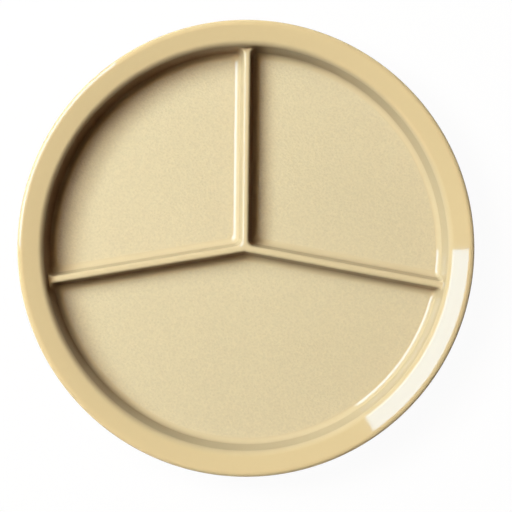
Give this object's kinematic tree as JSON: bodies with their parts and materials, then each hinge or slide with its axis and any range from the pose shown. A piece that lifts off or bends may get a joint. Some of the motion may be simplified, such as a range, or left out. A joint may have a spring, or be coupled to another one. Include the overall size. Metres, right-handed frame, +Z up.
{
  "type": "divided compartment plate",
  "caption": "Round plate with a low upright side wall, a narrow banded rim and divider ridges that part the well into compartments; rests on a foot ring.",
  "frame": {"origin": "middle of the resting plane, under the centre of the plate", "axes": "+Z up; the upper divider runs from the centre along +Y; +X to the right with the lower compartment towards -Y"},
  "size_m": [0.254, 0.254, 0.027],
  "materials": {
    "gloss_moulding": "glossy moulded plastic, warm tan",
    "satin_floor": "the same tan plastic with a fine stippled, satin texture"
  },
  "bodies": {
    "root": {"rim": "gloss_moulding", "side_wall": "gloss_moulding", "foot_ring": "gloss_moulding", "upper_left_floor": "satin_floor", "upper_right_floor": "satin_floor", "lower_floor": "satin_floor", "upper_divider": "gloss_moulding", "left_divider": "gloss_moulding", "right_divider": "gloss_moulding", "divider_hub": "gloss_moulding", "upper_divider_root": "gloss_moulding", "left_divider_root": "gloss_moulding", "right_divider_root": "gloss_moulding"}
  },
  "joints": []
}
